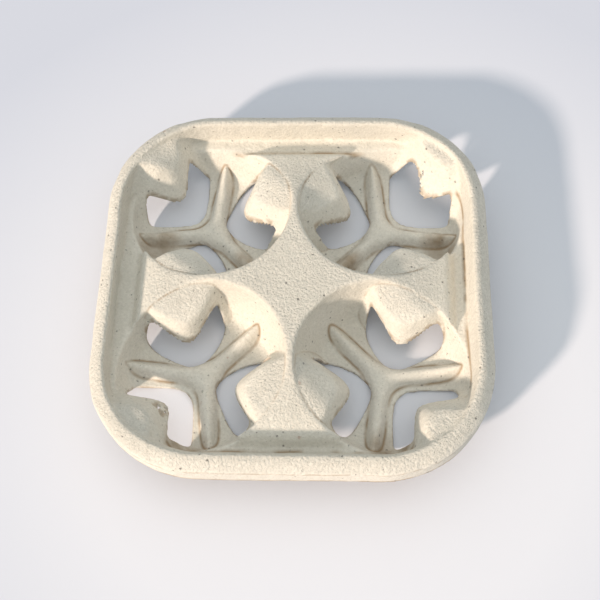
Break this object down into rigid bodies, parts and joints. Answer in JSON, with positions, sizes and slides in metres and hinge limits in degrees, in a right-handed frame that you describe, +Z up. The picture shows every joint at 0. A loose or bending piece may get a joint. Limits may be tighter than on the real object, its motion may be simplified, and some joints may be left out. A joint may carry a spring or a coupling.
{
  "type": "moulded pulp cup carrier",
  "caption": "Square moulded pulp tray with rounded corners, a raised rim and round wells whose spring fingers grip takeaway cups.",
  "frame": {"origin": "on the surface that the tray stands on, below the middle of the tray", "axes": "+Z up; X and Y along the two pairs of sides, which are alike by quarter turns; the finger bent out of place is towards +X +Y in the finished model"},
  "size_m": [0.216, 0.216, 0.043],
  "materials": {
    "pulp": "matt, pebbly, off-white recycled paper pulp"
  },
  "bodies": {
    "root": {"carrier_tray": "pulp"}
  },
  "joints": []
}
